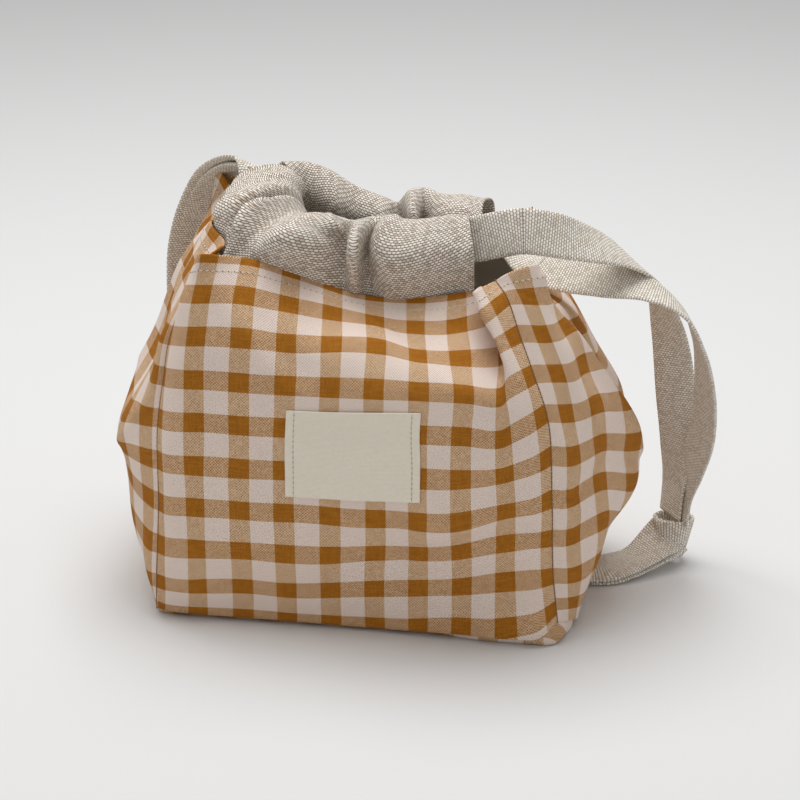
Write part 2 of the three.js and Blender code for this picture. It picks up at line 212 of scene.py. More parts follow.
def make_sheet(name, grid, uv, thick, material, lift=0.0):
    """Closed sheet of cloth with a rounded edge: its outside is the grid, raised by lift."""
    rows, columns, _ = grid.shape
    normals = grid_normals(grid)
    outside = (grid + normals * lift).reshape(-1, 3)
    inside = (grid + normals * (lift - thick)).reshape(-1, 3)
    count = rows * columns
    edge = border(rows, columns)
    flat = grid.reshape(-1, 3)
    outward = []
    for n in edge:
        r, c = divmod(n, columns)
        r_in = min(max(r, 1), rows - 2)
        c_in = min(max(c, 1), columns - 2)
        outward.append(flat[n] - flat[r_in * columns + c_in])
    outward = unit(np.array(outward))
    rings = []
    for turn in EDGE_TURNS:
        level = (1 + math.cos(math.pi * turn)) / 2
        bulge = math.sin(math.pi * turn) * thick / 2
        rings.append(outside[edge] * level + inside[edge] * (1 - level) + outward * bulge)
    points = np.vstack([outside, inside] + rings)
    uvs = uv.reshape(-1, 2)
    uvs = np.vstack([uvs, uvs] + [uvs[edge]] * len(rings))
    faces = quads(rows, columns) + quads(rows, columns, count, flip=True)
    loops = [edge]
    for i in range(len(rings)):
        first = 2 * count + i * len(edge)
        loops.append(list(range(first, first + len(edge))))
    loops.append([count + n for n in edge])
    for upper, lower in zip(loops, loops[1:]):
        for i in range(len(edge)):
            j = (i + 1) % len(edge)
            faces.append((upper[i], lower[i], lower[j], upper[j]))
    return make_mesh(name, points, faces, uvs, material)


def make_tube(name, grid, uv, wall, material):
    """Closed shell round a tube whose rows are closed rings, open at both ends."""
    rows, columns, _ = grid.shape
    along = unit(np.gradient(grid, axis=0))
    inside = grid - ring_normals(grid) * wall
    start = (grid[0] + inside[0]) / 2 - along[0] * wall / 2
    finish = (grid[-1] + inside[-1]) / 2 + along[-1] * wall / 2
    points = np.vstack([grid.reshape(-1, 3), inside.reshape(-1, 3), start, finish])
    uvs = uv.reshape(-1, 2)
    uvs = np.vstack([uvs, uvs, uv[0], uv[-1]])
    count = rows * columns
    faces = []
    for a, b, c, d in ring_quads(rows, columns):
        faces.append((a, d, c, b))
        faces.append((count + b, count + c, count + d, count + a))
    last = (rows - 1) * columns
    for c in range(columns):
        d = (c + 1) % columns
        s, f = 2 * count, 2 * count + columns
        faces.append((c, d, s + d, s + c))
        faces.append((s + c, s + d, count + d, count + c))
        faces.append((last + d, last + c, f + c, f + d))
        faces.append((f + d, f + c, count + last + c, count + last + d))
    return make_mesh(name, points, faces, uvs, material)


# One half of a strap's section, in widths and thicknesses. The other is this turned round.
STRAP_HALF = np.array([
    (-0.5, 0.0), (-0.478, -0.42), (-0.4, -0.5), (-0.2, -0.5),
    (0.0, -0.5), (0.2, -0.5), (0.4, -0.5), (0.478, -0.42),
])


def path_length(points):
    """Length along a line of points, at each of them."""
    return np.r_[0, np.cumsum(np.linalg.norm(np.diff(points, axis=0), axis=1))]


def strap_frames(route):
    """Points, directions across and normals along a route of points and directions across."""
    route = np.asarray(route, float)
    chord = path_length(route[:, :3])
    fine = np.linspace(0, chord[-1], 400)
    line = spline(chord, route[:, :3], fine)
    run = path_length(line)
    count = max(4, int(round(run[-1] / STRAP_STEP)) + 1)
    at = np.interp(np.linspace(0, run[-1], count), run, fine)
    points = spline(chord, route[:, :3], at)
    ahead = unit(np.gradient(points, axis=0))
    across = spline(chord, unit(route[:, 3:]), at)
    across = unit(across - ahead * (across * ahead).sum(axis=1, keepdims=True))
    return points, across, np.cross(ahead, across)


def make_strap(name, frames):
    """A length of flat webbing along frames of points, directions across and normals."""
    points, across, normals = frames
    section = np.vstack([STRAP_HALF, -STRAP_HALF])
    sides = len(section)
    rings = (
        points[:, None]
        + across[:, None] * (section[None, :, 0:1] * STRAP)
        + normals[:, None] * (section[None, :, 1:2] * STRAP_THICK)
    )
    rows = len(points)
    along = path_length(points)
    uv = np.empty((rows, sides, 2))
    uv[:, :, 0] = section[None, :, 0] * STRAP
    uv[:, :, 1] = along[:, None]
    verts = np.vstack([rings.reshape(-1, 3), points[:1], points[-1:]])
    uvs = np.vstack([uv.reshape(-1, 2), [[0, 0]], [[0, along[-1]]]])
    faces = ring_quads(rows, sides)
    first, last = rows * sides, rows * sides + 1
    for c in range(sides):
        d = (c + 1) % sides
        faces.append((first, d, c))
        faces.append((last, (rows - 1) * sides + c, (rows - 1) * sides + d))
    return make_mesh(name, verts, faces, uvs, webbing)


def put(tree, value, socket):
    """Link or set an input of a node."""
    if isinstance(value, bpy.types.NodeSocket):
        tree.links.new(value, socket)
    else:
        socket.default_value = value


def add_node(tree, kind, *values, out=0, **named):
    """One output of a new node. Lower-case names are its settings, other names its inputs."""
    node = tree.nodes.new(kind)
    for key, value in named.items():
        if key.islower():
            setattr(node, key, value)
        else:
            put(tree, value, node.inputs[key])
    for socket, value in zip(node.inputs, values):
        put(tree, value, socket)
    return node.outputs[out]


class Shader:
    """A material and short calls that build its node tree."""

    def __init__(self, name, roughness, gloss=0.25):
        self.material = bpy.data.materials.new(name)
        self.material.use_nodes = True
        self.tree = self.material.node_tree
        self.inputs = self.tree.nodes["Principled BSDF"].inputs
        self.inputs["Roughness"].default_value = roughness
        self.inputs["Specular IOR Level"].default_value = gloss

    def math(self, operation, *values):
        return add_node(self.tree, "ShaderNodeMath", *values, operation=operation)

    def sines(self, x, y, rate):
        waves = [self.math("SINE", self.math("MULTIPLY", t, rate)) for t in (x, y)]
        return self.math("MULTIPLY", *waves)

    def mix(self, share, a, b):
        node = self.tree.nodes.new("ShaderNodeMix")
        node.data_type = "RGBA"
        for number, value in ((0, share), (6, a), (7, b)):
            put(self.tree, value, node.inputs[number])
        return node.outputs[2]

    def uv(self):
        split = self.tree.nodes.new("ShaderNodeSeparateXYZ")
        put(self.tree, add_node(self.tree, "ShaderNodeUVMap", uv_map="UVMap"), split.inputs[0])
        return split.outputs[0], split.outputs[1]

    def vector(self, x, y):
        return add_node(self.tree, "ShaderNodeCombineXYZ", x, y)

    def noise(self, vector, scale, detail=1.0):
        kind = "ShaderNodeTexNoise"
        return add_node(self.tree, kind, Vector=vector, Scale=scale, Detail=detail)

    def chance(self, vector):
        kind = "ShaderNodeTexWhiteNoise"
        return add_node(self.tree, kind, noise_dimensions="2D", Vector=vector, out="Value")

    def remap(self, value, low, high, to_low=0.0, to_high=1.0):
        values = (value, low, high, to_low, to_high)
        return add_node(
            self.tree, "ShaderNodeMapRange", *values, interpolation_type="SMOOTHSTEP"
        )

    def bump(self, height, depth):
        kind = "ShaderNodeBump"
        normal = add_node(self.tree, kind, Strength=1.0, Distance=depth, Height=height)
        put(self.tree, normal, self.inputs["Normal"])

    def colour(self, value):
        put(self.tree, value, self.inputs["Base Color"])


def srgb(red, green, blue):
    """Shader colour from 0-255 values."""
    def linear(c):
        c /= 255
        return c / 12.92 if c <= 0.04045 else ((c + 0.055) / 1.055) ** 2.4
    return (linear(red), linear(green), linear(blue), 1.0)


THREADS = 30.0  # in one check
SLUB = 3.7  # step from thread to thread through the noise that thickens them
BAND = (0.222, 0.234)  # half width of a dark band, in checks, and where its edge ends


def gingham_material():
    """Woven check: UVs count checks, dark bands lie on the whole numbers."""
    s = Shader("gingham", 0.9)
    x, y = s.uv()
    tx, ty = s.math("MULTIPLY", x, THREADS), s.math("MULTIPLY", y, THREADS)
    column, row = s.math("FLOOR", tx), s.math("FLOOR", ty)

    def band(t):
        off = s.math("SUBTRACT", s.math("FRACT", s.math("ADD", t, 0.5)), 0.5)
        return s.remap(s.math("ABSOLUTE", off), *BAND, 1.0, 0.0)

    weave = s.sines(tx, ty, math.pi)
    speck = s.chance(s.vector(column, row))
    over = s.math("ADD", s.math("MULTIPLY", weave, 0.36), s.math("MULTIPLY", speck, 0.3))
    over = s.math("ADD", over, 0.42)
    apart_x, apart_y = s.math("MULTIPLY", column, SLUB), s.math("MULTIPLY", row, SLUB)
    along_x, along_y = s.math("MULTIPLY", x, 2.0), s.math("MULTIPLY", y, 2.0)
    slub_x = s.noise(s.vector(apart_x, along_y), 1.0)
    slub_y = s.noise(s.vector(along_x, apart_y), 1.0)
    pale, dark = srgb(237, 218, 206), srgb(178, 114, 28)
    deep, warm = srgb(158, 96, 18), srgb(234, 209, 178)
    dark_x = s.mix(s.remap(slub_x, 0.3, 0.7), deep, dark)
    dark_y = s.mix(s.remap(slub_y, 0.3, 0.7), deep, dark)
    in_x, in_y = band(x), band(y)
    warp = s.mix(in_x, s.mix(in_y, pale, warm), dark_x)
    weft = s.mix(in_y, s.mix(in_x, pale, warm), dark_y)
    s.colour(s.mix(over, warp, weft))
    s.bump(s.math("ADD", weave, speck), 0.0001)
    return s.material


def weave_material(name, light, dark, cell_x, cell_y, roughness, depth):
    """Coarse plain weave: light staggered floats over a darker ground; UVs are in mm."""
    s = Shader(name, roughness)
    x, y = s.uv()
    wander = s.noise(s.vector(x, y), 0.12, 1.0)
    ty = s.math("DIVIDE", y, cell_y)
    row = s.math("FLOOR", ty)
    shift = s.math("MULTIPLY", s.math("FLOORED_MODULO", row, 2.0), 0.5)
    tx = s.math("ADD", s.math("DIVIDE", x, cell_x), shift)
    tx = s.math("ADD", tx, s.math("MULTIPLY", wander, 0.3))

    def peak(t):
        off = s.math("SUBTRACT", s.math("FRACT", t), 0.5)
        return s.math("MULTIPLY", off, off)

    away_x, away_y = s.math("MULTIPLY", peak(tx), 1.1), s.math("MULTIPLY", peak(ty), 1.3)
    away = s.math("ADD", away_x, away_y)
    float_height = s.remap(away, 0.12, 0.37, 1.0, 0.0)
    tone = s.chance(s.vector(s.math("FLOOR", tx), row))
    lit = s.mix(s.remap(tone, 0.0, 0.6, 0.55, 1.0), dark, light)
    s.colour(s.mix(float_height, dark, lit))
    s.bump(float_height, depth)
    return s.material


def plain_material(name, colour, roughness, grain, depth):
    """Plain close-woven cloth; UVs are in mm."""
    s = Shader(name, roughness)
    x, y = s.uv()
    tone = s.noise(s.vector(x, y), 1.6, 2.0)
    dim = tuple(c * grain for c in colour[:3]) + (1.0,)
    s.colour(s.mix(s.remap(tone, 0.3, 0.7), dim, colour))
    s.bump(s.sines(x, y, 9.0), depth)
    return s.material


gingham = gingham_material()
linen = weave_material(
    "linen", srgb(252, 246, 236), srgb(142, 116, 88), 1.62, 1.15, 0.92, 0.00035
)
webbing = weave_material(
    "webbing", srgb(254, 250, 242), srgb(190, 173, 148), 1.6, 1.15, 0.9, 0.0003
)
lining_cloth = plain_material("lining", srgb(228, 220, 206), 0.9, 0.9, 0.00005)
tape = weave_material(
    "tape", srgb(255, 248, 232), srgb(240, 228, 206), 0.8, 0.55, 0.85, 0.00012
)
# Painted stitch shade: dark colour for the shadows between stitches and for the hem's stitch row.
painted_stitch_shade = plain_material("painted_stitch_shade", srgb(140, 116, 88), 0.9, 0.95, 0.00001)
seam_shade = plain_material("seam shade", srgb(138, 104, 72), 0.95, 0.94, 0.00002)
thread = plain_material("thread", srgb(226, 218, 206), 0.8, 0.95, 0.00001)


def place(obj, node=None, body=None):
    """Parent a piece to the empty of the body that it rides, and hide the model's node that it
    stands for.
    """
    if body:
        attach(obj, body)
    if node:
        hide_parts(node)


# Each rail is the line that one column of the cloth takes, at these heights up the cloth.
ROWS = [0, 20, 60, 100, 120, 140, 160, 180]
FRONT_LEFT = [(-90, -60, 3), (-88, -66, 18), (-86, -65, 56), (-86, -61, 94),
    (-84, -57, 112), (-82, -52, 129), (-76, -46, 146.5), (-71, -44, 162)]
FRONT_RIGHT = [(92, -63, 12), (90, -65, 33), (89, -69, 71), (86, -69, 110),
    (80, -66, 126), (73, -61, 142), (67, -56, 156), (61, -50, 162)]
BACK_RIGHT = [(90, 60, 3), (90, 64, 22), (89, 63, 62), (86, 58, 100),
    (82, 55, 118), (77, 52, 136), (71, 48, 152), (65, 45, 168)]
BACK_LEFT = [(-90, 60, 3), (-90, 64, 22), (-91, 64, 62), (-91, 62, 101),
    (-90, 59, 120), (-89, 56, 139), (-88, 53, 160), (-85, 50, 180)]
RAILS = {
    "front": [
        (-90, FRONT_LEFT),
        (-82, [(-82, -62, 3), (-80, -67, 17.5), (-79, -69.5, 56.5), (-79, -68, 95.5),
            (-78.5, -64.5, 114), (-76.5, -60, 131.8), (-73.5, -57.5, 150.5), (-68.5, -52, 165.5)]),
        (-76, [(-76, -62.4, 3), (-74, -67.5, 17.5), (-73, -70.5, 57), (-73, -71, 96.5),
            (-72.5, -69, 115.5), (-71, -66, 134), (-69, -62, 152), (-66, -58, 169)]),
        (-66, [(-66, -62.4, 3), (-65, -67, 18), (-64, -71, 57), (-63, -71, 97),
            (-63, -70, 116), (-62, -67, 135), (-61, -61, 152), (-59, -54, 168)]),
        (-50, [(-49, -62.4, 3), (-48, -66, 19), (-47, -73, 58), (-46, -74, 98),
            (-46, -73, 117), (-45, -70, 136), (-46, -61, 152), (-46, -48, 165)]),
        (-30, [(-29, -62.4, 3), (-28, -67, 19), (-27, -75, 59), (-26, -76, 99),
            (-25, -76, 118), (-26, -70, 135), (-28, -55, 147), (-30, -41, 158)]),
        (10, [(11, -62.4, 2.6), (11, -65, 22), (14, -76, 60), (14, -80, 101),
            (14, -80, 120), (13, -68, 135), (9, -51, 140.5), (6, -35, 146.5)]),
        (50, [(50, -65.6, 4), (50, -65, 26), (51, -79, 63), (52, -86, 104),
            (53, -87, 123), (49, -73, 133), (45, -56, 141.5), (43, -42, 152.3)]),
        (70, [(70, -67.2, 4.2), (69, -65, 29), (70, -74, 67), (69, -80, 102),
            (68, -79, 120), (66, -63, 133), (61, -49, 146), (56, -40, 155.5)]),
        (76, [(77, -67.3, 4.4), (75, -65.5, 30), (75, -73, 68), (73, -78.5, 104),
            (70, -77, 122), (65, -66, 137), (59.5, -56, 148.5), (54, -48, 158)]),
        (81, [(83, -67, 5), (80, -66, 31), (80, -72, 69), (77, -77, 106),
            (73, -75, 124), (65, -69, 139), (58.5, -63, 149), (52.5, -56, 158)]),
        (90, FRONT_RIGHT),
    ],
    "right": [
        (0, FRONT_RIGHT),
        (12, [(96.5, -51.5, 8.5), (97, -57, 31), (97, -61, 69), (93, -60, 107),
            (88, -58, 124), (81, -55, 140), (74, -51, 155), (69, -48, 166)]),
        (21, [(98, -43, 5), (101, -50, 31), (102, -54, 70), (98, -54, 106),
            (94, -53, 123), (87, -51, 140), (81, -47, 154), (77, -44, 168)]),
        (33, [(97.3, -29, 2), (105, -37, 30), (107, -43, 70), (104, -44, 106),
            (97, -40, 122), (89, -37, 138), (80, -33, 149), (69, -31, 158)]),
        (60, [(97.4, 0, 1.5), (101, 0, 21), (119, 0, 56), (114, 2, 93),
            (103, 5, 110), (93, 8, 126), (80, 9, 138), (60, 5, 143)]),
        (90, [(94.6, 30, 1.5), (103, 36, 28), (105, 40, 68), (95, 40, 104),
            (87, 38, 121), (79, 36, 138), (71, 35, 149), (64, 34, 153)]),
        (120, BACK_RIGHT),
    ],
    "back": [
        (-90, BACK_RIGHT),
        (-70, [(70, 60, 3), (69, 66, 22), (69, 70, 61), (68, 68, 100),
            (66, 66, 119), (62, 62, 137), (58, 56, 153), (55, 50, 164)]),
        (-40, [(40, 61, 3), (40, 66, 22), (40, 75, 60), (40, 76, 100),
            (39, 74, 119), (38, 66, 136), (36, 54, 147), (34, 42, 155)]),
        (0, [(0, 61, 3), (0, 66, 22), (0, 77, 60), (0, 78, 100),
            (0, 76, 119), (0, 67, 135), (0, 52, 145), (0, 39, 150)]),
        (40, [(-40, 61, 3), (-40, 66, 22), (-40, 75, 60), (-40, 76, 100),
            (-40, 74, 119), (-40, 67, 136), (-40, 56, 149), (-41, 45, 159)]),
        (70, [(-70, 60, 3), (-69, 66, 22), (-69, 71, 61), (-69, 70, 100),
            (-69, 68, 119), (-70, 64, 137), (-70, 58, 154), (-68, 51, 169)]),
        (90, BACK_LEFT),
    ],
    "left": [
        (0, BACK_LEFT),
        (14, [(-91, 46, 3), (-98, 52, 25), (-101, 53, 66), (-99, 52, 103),
            (-96, 50, 121), (-93, 48, 139), (-89, 47, 158), (-79, 46, 174)]),
        (30, [(-91, 30, 3), (-103, 36, 28), (-110, 37, 68), (-107, 36, 103),
            (-103, 37, 120), (-96.5, 36, 138), (-88, 37, 155), (-72, 38, 167)]),
        (60, [(-91, 0, 3), (-100, 0, 21), (-116, -2, 58), (-111, -4, 93),
            (-103, -2, 112), (-95, 0, 132), (-86, 2, 152), (-73, 4, 168)]),
        (90, [(-91, -30, 3), (-101, -37, 20), (-105, -42, 60), (-107, -38, 87),
            (-94.5, -30, 112), (-88.5, -27, 131), (-80.5, -23, 152), (-69.5, -20, 170)]),
        (104, [(-91, -44, 3), (-95, -53, 19), (-97, -55, 58), (-98, -50, 91),
            (-91, -45, 112.5), (-86, -39, 130.5), (-77, -33, 150), (-61.5, -32.5, 167)]),
        (115, [(-91, -55, 3), (-91, -63, 18), (-89.5, -62.5, 56.5), (-90, -58, 93),
            (-88, -56, 112.5), (-85, -50.5, 129.5), (-76, -42.5, 147), (-64.5, -41, 164.8)]),
        (120, FRONT_LEFT),
    ],
}
# Soft ridges and valleys of the cloth: line of (u, v), width and height in mm.
WRINKLES = {
    "front": [
        ([(74, 140), (76, 118)], 6, -1.2),
        ([(24, 40), (74, 50)], 6, -1.8),
        ([(30, 54), (82, 63)], 6, 1.2),
        ([(-40, 150), (-24, 128)], 7, -1.2),
        ([(-62, 165), (-40, 130)], 6, 1.0),
        ([(20, 160), (30, 130)], 7, -1.0),
    ],
    "right": [
        ([(24, 172), (60, 76)], 4, 2.4),
        ([(38, 160), (70, 84)], 5, -2.2),
        ([(12, 60), (50, 76)], 7, -1.6),
        ([(20, 20), (55, 60)], 9, 1.2),
    ],
    "back": [
        ([(-60, 150), (-20, 120)], 8, -1.0),
        ([(30, 130), (70, 160)], 8, -1.0),
        ([(-40, 30), (20, 44)], 9, -1.0),
    ],
    "left": [
        ([(60, 110), (60, 178)], 4, 1.5),
        ([(76, 160), (80, 110)], 7, -1.5),
        ([(48, 160), (45, 100)], 8, -1.5),
        ([(88, 84), (112, 108)], 4, 1.0),
    ],
}
U_SHIFT = {"front": 10.0, "right": 7.5, "back": 10.0, "left": 7.5}  # start of the check, mm
V_SHIFT = -1.0
SEAM_ROLL, SEAM_WIDTH = 0.9, 2.6  # how far the cloth swells beside a seam, and how near to it
RIPPLE, RIPPLE_LENGTH = 0.45, 34  # height and length of the waves all over a panel
LOWEST = 2.2  # lowest place of a panel's outside, beside the base
LOW_CHECK = 20.0
EAR_DRIFT = 4.0  # how far the check runs off the straight at the front right ear, mm


def panel_sheet(side):
    """Grid of one panel's outside with its UVs, and the cloth coordinates in mm."""
    rails = RAILS[side]
    start, finish = rails[0][0], rails[-1][0]
    us = np.linspace(start, finish, int((finish - start) / CLOTH_STEP) + 1)
    vs = np.linspace(0, PANEL, int(PANEL / CLOTH_STEP) + 1)
    lines = np.array([spline(ROWS, points, vs) for _, points in rails])
    grid = spline([u for u, _ in rails], lines, us).transpose(1, 0, 2)
    u, v = np.meshgrid(us, vs)
    beside = np.minimum(u - us[0], us[-1] - u)
    lift = SEAM_ROLL * (1 - np.exp(-((beside / SEAM_WIDTH) ** 2)))
    lift += creases(u, v, WRINKLES[side]) * smoothstep(0, 8, beside)
    ripples = waves(u, v, len(side), RIPPLE, RIPPLE_LENGTH)
    lift += ripples * smoothstep(0, 10, beside) * smoothstep(0, 12, v)
    grid = grid + grid_normals(grid) * lift[:, :, None]
    grid[:, :, 2] = np.maximum(grid[:, :, 2], LOWEST)
    drop, ear = np.zeros_like(u), np.zeros_like(u)
    if side == "front":
        drop = -2 * smoothstep(20, 50, u) - 6 * smoothstep(60, 92, u)
        ear = smoothstep(66, 78, u)
    if side == "right":
        drop = np.full_like(u, -12.0)
        ear = 1 - smoothstep(22, 34, u)
    rise = np.where(v < LOW_CHECK, drop + (LOW_CHECK - drop) * v / LOW_CHECK, v)
    rise = rise - EAR_DRIFT * ear * smoothstep(158, 180, v)
    uv = np.stack([(u + U_SHIFT[side]) / CHECK, (rise + V_SHIFT) / CHECK], axis=-1)
    return grid, uv, u, v


LINING_GAP = 0.4  # between the cloth and its lining
LINING_SKIP = 3  # the lining takes every third point of the cloth
panels, linings, sheets = {}, {}, {}
for side in RAILS:
    grid, uv, u, v = panel_sheet(side)
    sheets[side] = (grid, u, v)
    panels[side] = make_sheet(f"{side}_cloth", grid, uv, CLOTH, gingham)
    place(panels[side], f"{side}_panel", "bag")
    linings[side] = make_sheet(
        f"{side}_lining_cloth",
        grid[:-1:LINING_SKIP, ::LINING_SKIP],
        uv[:-1:LINING_SKIP, ::LINING_SKIP] * CHECK,
        LINING,
        lining_cloth,
        -CLOTH - LINING_GAP,
    )
    place(linings[side], f"{side}_lining", "bag")

BASE_CORNER = 6.0  # radius of the base's corners
BASE_U, BASE_V = 18.3, -4  # where the check starts on the base, mm


def base_slab(name, half_x, half_y, low, high, round_off, belly, material, scale):
    """Stiffened slab with a rounded edge, which swells by belly at the front right corner."""
    outline = []
    turns = np.radians(np.arange(0, 91, 15))
    for cx, cy, start in ((1, 1, 0), (-1, 1, 90), (-1, -1, 180), (1, -1, 270)):
        middle = (cx * (half_x - BASE_CORNER), cy * (half_y - BASE_CORNER))
        for a in turns + math.radians(start):
            outline.append(middle + (math.cos(a), math.sin(a)))
        first = np.array(middle)
        last = first * ((-1, 1) if start in (0, 180) else (1, -1))
        for share in np.linspace(0, 1, 12)[1:-1]:
            outline.append(tuple(first + (last - first) * share) + outline[-1][2:])
    outline = np.array(outline)
    rings, uvs = [], []
    for turn in range(-90, 91, 30):
        a = math.radians(turn)
        arm = BASE_CORNER + round_off * (math.cos(a) - 1)
        x, y = (outline[:, :2] + outline[:, 2:] * arm).T
        z = np.full_like(x, (low + high) / 2 + (high - low) / 2 * math.sin(a))
        in_front = smoothstep(-66, -44, y) * (1 - smoothstep(0, 60, y))
        x = x + belly * 1.3 * smoothstep(60, 90, x) * in_front
        y = y - belly * smoothstep(30, 62, x) * smoothstep(30, 60, -y)
        raised = belly * 0.8 * (math.sin(a) + 1) / 2
        z = z + raised * smoothstep(70, 88, x) * smoothstep(40, 55, -y)
        rings.append(np.stack([x, y, z], axis=1))
        uvs.append(np.stack([(x + BASE_U) / scale, (y + z + BASE_V) / scale], axis=1))
    count = len(outline)
    faces = ring_quads(len(rings), count)
    faces.append(tuple(range(count - 1, -1, -1)))
    top = (len(rings) - 1) * count
    faces.append(tuple(range(top, top + count)))
    return make_mesh(name, np.vstack(rings), faces, np.vstack(uvs), material)


base = base_slab("base_cloth", 91.5, 61.5, 0.0, 9.0, 3.0, 4.4, gingham, CHECK)
place(base, "base_panel", "bag")
base_inner = base_slab("base_lining_cloth", 86, 56, 9.2, 10.0, 0.4, 0.0, lining_cloth, 1.0)
place(base_inner, "base_lining", "bag")

# The label is a tape sewn on the front, its middle at this place of the cloth.
LABEL_U, LABEL_V, LABEL_W, LABEL_H = 1.2, 90.2, 60.0, 40.0
LABEL_TILT = 0.026  # rise of the label towards its right end


def on_front(us, vs, lift):
    """Points at a height over the front cloth."""
    grid, u, v = sheets["front"]
    normals = grid_normals(grid)
    c = np.interp(us, u[0], np.arange(u.shape[1]))
    r = np.interp(vs, v[:, 0], np.arange(v.shape[0]))
    c0 = np.clip(c.astype(int), 0, u.shape[1] - 2)
    r0 = np.clip(r.astype(int), 0, v.shape[0] - 2)
    fc, fr = (c - c0)[..., None], (r - r0)[..., None]

    def read(field):
        low = field[r0, c0] * (1 - fc) + field[r0, c0 + 1] * fc
        high = field[r0 + 1, c0] * (1 - fc) + field[r0 + 1, c0 + 1] * fc
        return low * (1 - fr) + high * fr

    return read(grid) + unit(read(normals)) * np.asarray(lift)[..., None]


def on_label(across, up, lift=0.0):
    """Points at a height over the label, which puffs up between its stitch rows."""
    rise = 0.6 + 0.4 * (2 * up / LABEL_H) ** 2
    puff = 0.75 + 0.5 * np.cos(math.pi * across / LABEL_W) * rise
    return on_front(LABEL_U + across, LABEL_V + up + LABEL_TILT * across, puff + lift)


lu, lv = np.meshgrid(
    np.linspace(-LABEL_W / 2, LABEL_W / 2, 61), np.linspace(-LABEL_H / 2, LABEL_H / 2, 41)
)
label = make_sheet("label_tape", on_label(lu, lv), np.stack([lu, lv], axis=-1), TAPE, tape)
place(label, "label", "bag")

# Sections of the collar: outer foot, bulge, crest, inner side and inner foot.
FRONT_COLLAR = [
    [(50, -39.5, 154), (50, -44, 173), (46, -31, 183), (45, -22, 172), (47, -30, 156)],
    [(36, -38, 148), (35, -46, 171), (35, -31, 182.5), (34, -21, 172), (34, -29, 153)],
    [(21, -35, 144.5), (19, -46, 169), (19, -31, 180.5), (18, -20, 171), (19, -28, 151)],
    [(12, -33.5, 144), (9, -42, 170), (13, -28, 182), (12, -19, 171), (11, -27, 150)],
    [(3, -32, 144.5), (2, -30, 167), (7, -25, 180), (6, -18, 170), (3, -26, 150)],
    [(-3, -33.5, 146), (-1, -47, 172), (-2, -31, 179.5), (-2, -19, 170), (-3, -27, 151)],
    [(-8, -33.5, 148), (-7, -29, 164), (-7, -24, 177), (-7, -17, 168), (-8, -26, 151)],
    [(-18, -36, 152), (-17, -42, 170), (-13, -26, 179.5), (-12, -16, 169), (-16, -28, 152)],
    [(-43, -43.5, 160), (-32, -49, 177), (-21, -25, 180.5), (-19, -14, 170), (-30, -30, 155)],
    [(-53, -46, 161), (-44, -36, 174), (-32, -15, 177), (-28, -8, 167), (-40, -27, 156)],
    [(-60, -43, 160), (-50, -33, 184), (-37, -9, 183), (-33, -2, 169), (-46, -20, 157)],
    [(-62, -37, 159), (-50, -11, 172), (-38, -4, 178), (-35, 1, 169), (-49, -15, 158)],
    [(-63, -29, 159), (-56, -23, 183.5), (-39, -2, 185), (-36, 4, 170), (-52, -10, 158)],
    [(-66.5, -18, 160), (-66, -17, 180.5), (-41, 3, 188), (-37, 8, 173), (-55, -4, 160)],
    [(-70, -5, 158), (-67.5, 0, 180.5), (-44, 10, 189), (-39, 14, 175), (-56, 5, 159)],
    [(-68, 14, 157), (-69, 17, 181), (-48, 19, 189.5), (-38, 21, 178), (-52, 17, 158)],
]
BACK_COLLAR = [
    [(-56, 41, 160), (-55, 43, 179), (-47, 27, 189), (-43, 21, 178), (-49, 30, 158)],
    [(-42, 44, 162), (-40, 45, 175), (-37, 31, 188), (-34, 23, 176), (-38, 32, 158)],
    [(-28, 44, 156), (-27, 45, 170), (-27, 33, 184), (-25, 22, 172), (-26, 32, 153)],
    [(-14, 41, 151), (-14, 43, 165), (-14, 32, 177.5), (-13, 22, 168), (-13, 30, 150)],
    [(-2, 39, 149), (-2, 41, 162), (-1, 31, 173), (-1, 21, 165), (-2, 29, 149)],
    [(6, 39, 149), (6, 41, 161), (5, 33, 171), (7, 30, 163), (7, 31, 150)],
    [(12, 39, 149), (12, 41, 166), (11, 30, 178), (14, 16, 168), (13, 27, 150)],
    [(18, 40, 150), (18, 41, 166), (18, 31, 178), (18, 25, 166), (18, 30, 150)],
    [(25, 40, 150), (25, 42, 167), (25, 27, 177), (26, 15, 168), (25, 26, 150)],
    [(37, 42, 152), (37, 44, 169.5), (36, 25, 175.5), (37, 13, 167), (36, 24, 150)],
    [(48, 41, 154), (47, 42.5, 170.5), (45, 23, 175.5), (46, 13, 167), (47, 22, 152)],
]
# Folds of the collar: line of (station, share round the section), width and height in mm.
FRONT_FOLDS = [
    ([(7.3, 0.47), (7.0, 0.41), (6.5, 0.37)], 2.6, -3.5),
    ([(7.6, 0.36), (6.9, 0.33), (6.45, 0.37)], 2.2, 1.6),
    ([(10.2, 0.3), (9.8, 0.16)], 2.6, -2.2),
    ([(13.4, 0.46), (13.9, 0.36), (14.4, 0.22)], 2.6, -1.8),
]
BACK_FOLDS = [
    ([(9.2, 0.45), (9.1, 0.95)], 3.0, -1.6),
    ([(2.2, 0.3), (2.3, 0.02)], 4.0, -2.5),
    ([(6.0, 0.3), (6.1, 0.02)], 4.0, -2.5),
]
STATION_MM, SECTION_MM = 10.0, 76.0  # cloth between two stations, and round a section
STATION_STEPS = 14  # rings from one station to the next
SKIN_STEPS, FOOT_STEPS = 91, 6  # points over the crest, and across the foot
SECTION_SHARES = [0, 0.24, 0.5, 0.76, 1.0]  # where the five points lie round a section
FOLD_POWER = 1.4  # sharpness of the folds
SLOW_REACH, SLOW_WIDTH = 24, 12.0  # rings over which the weave's drift is evened out


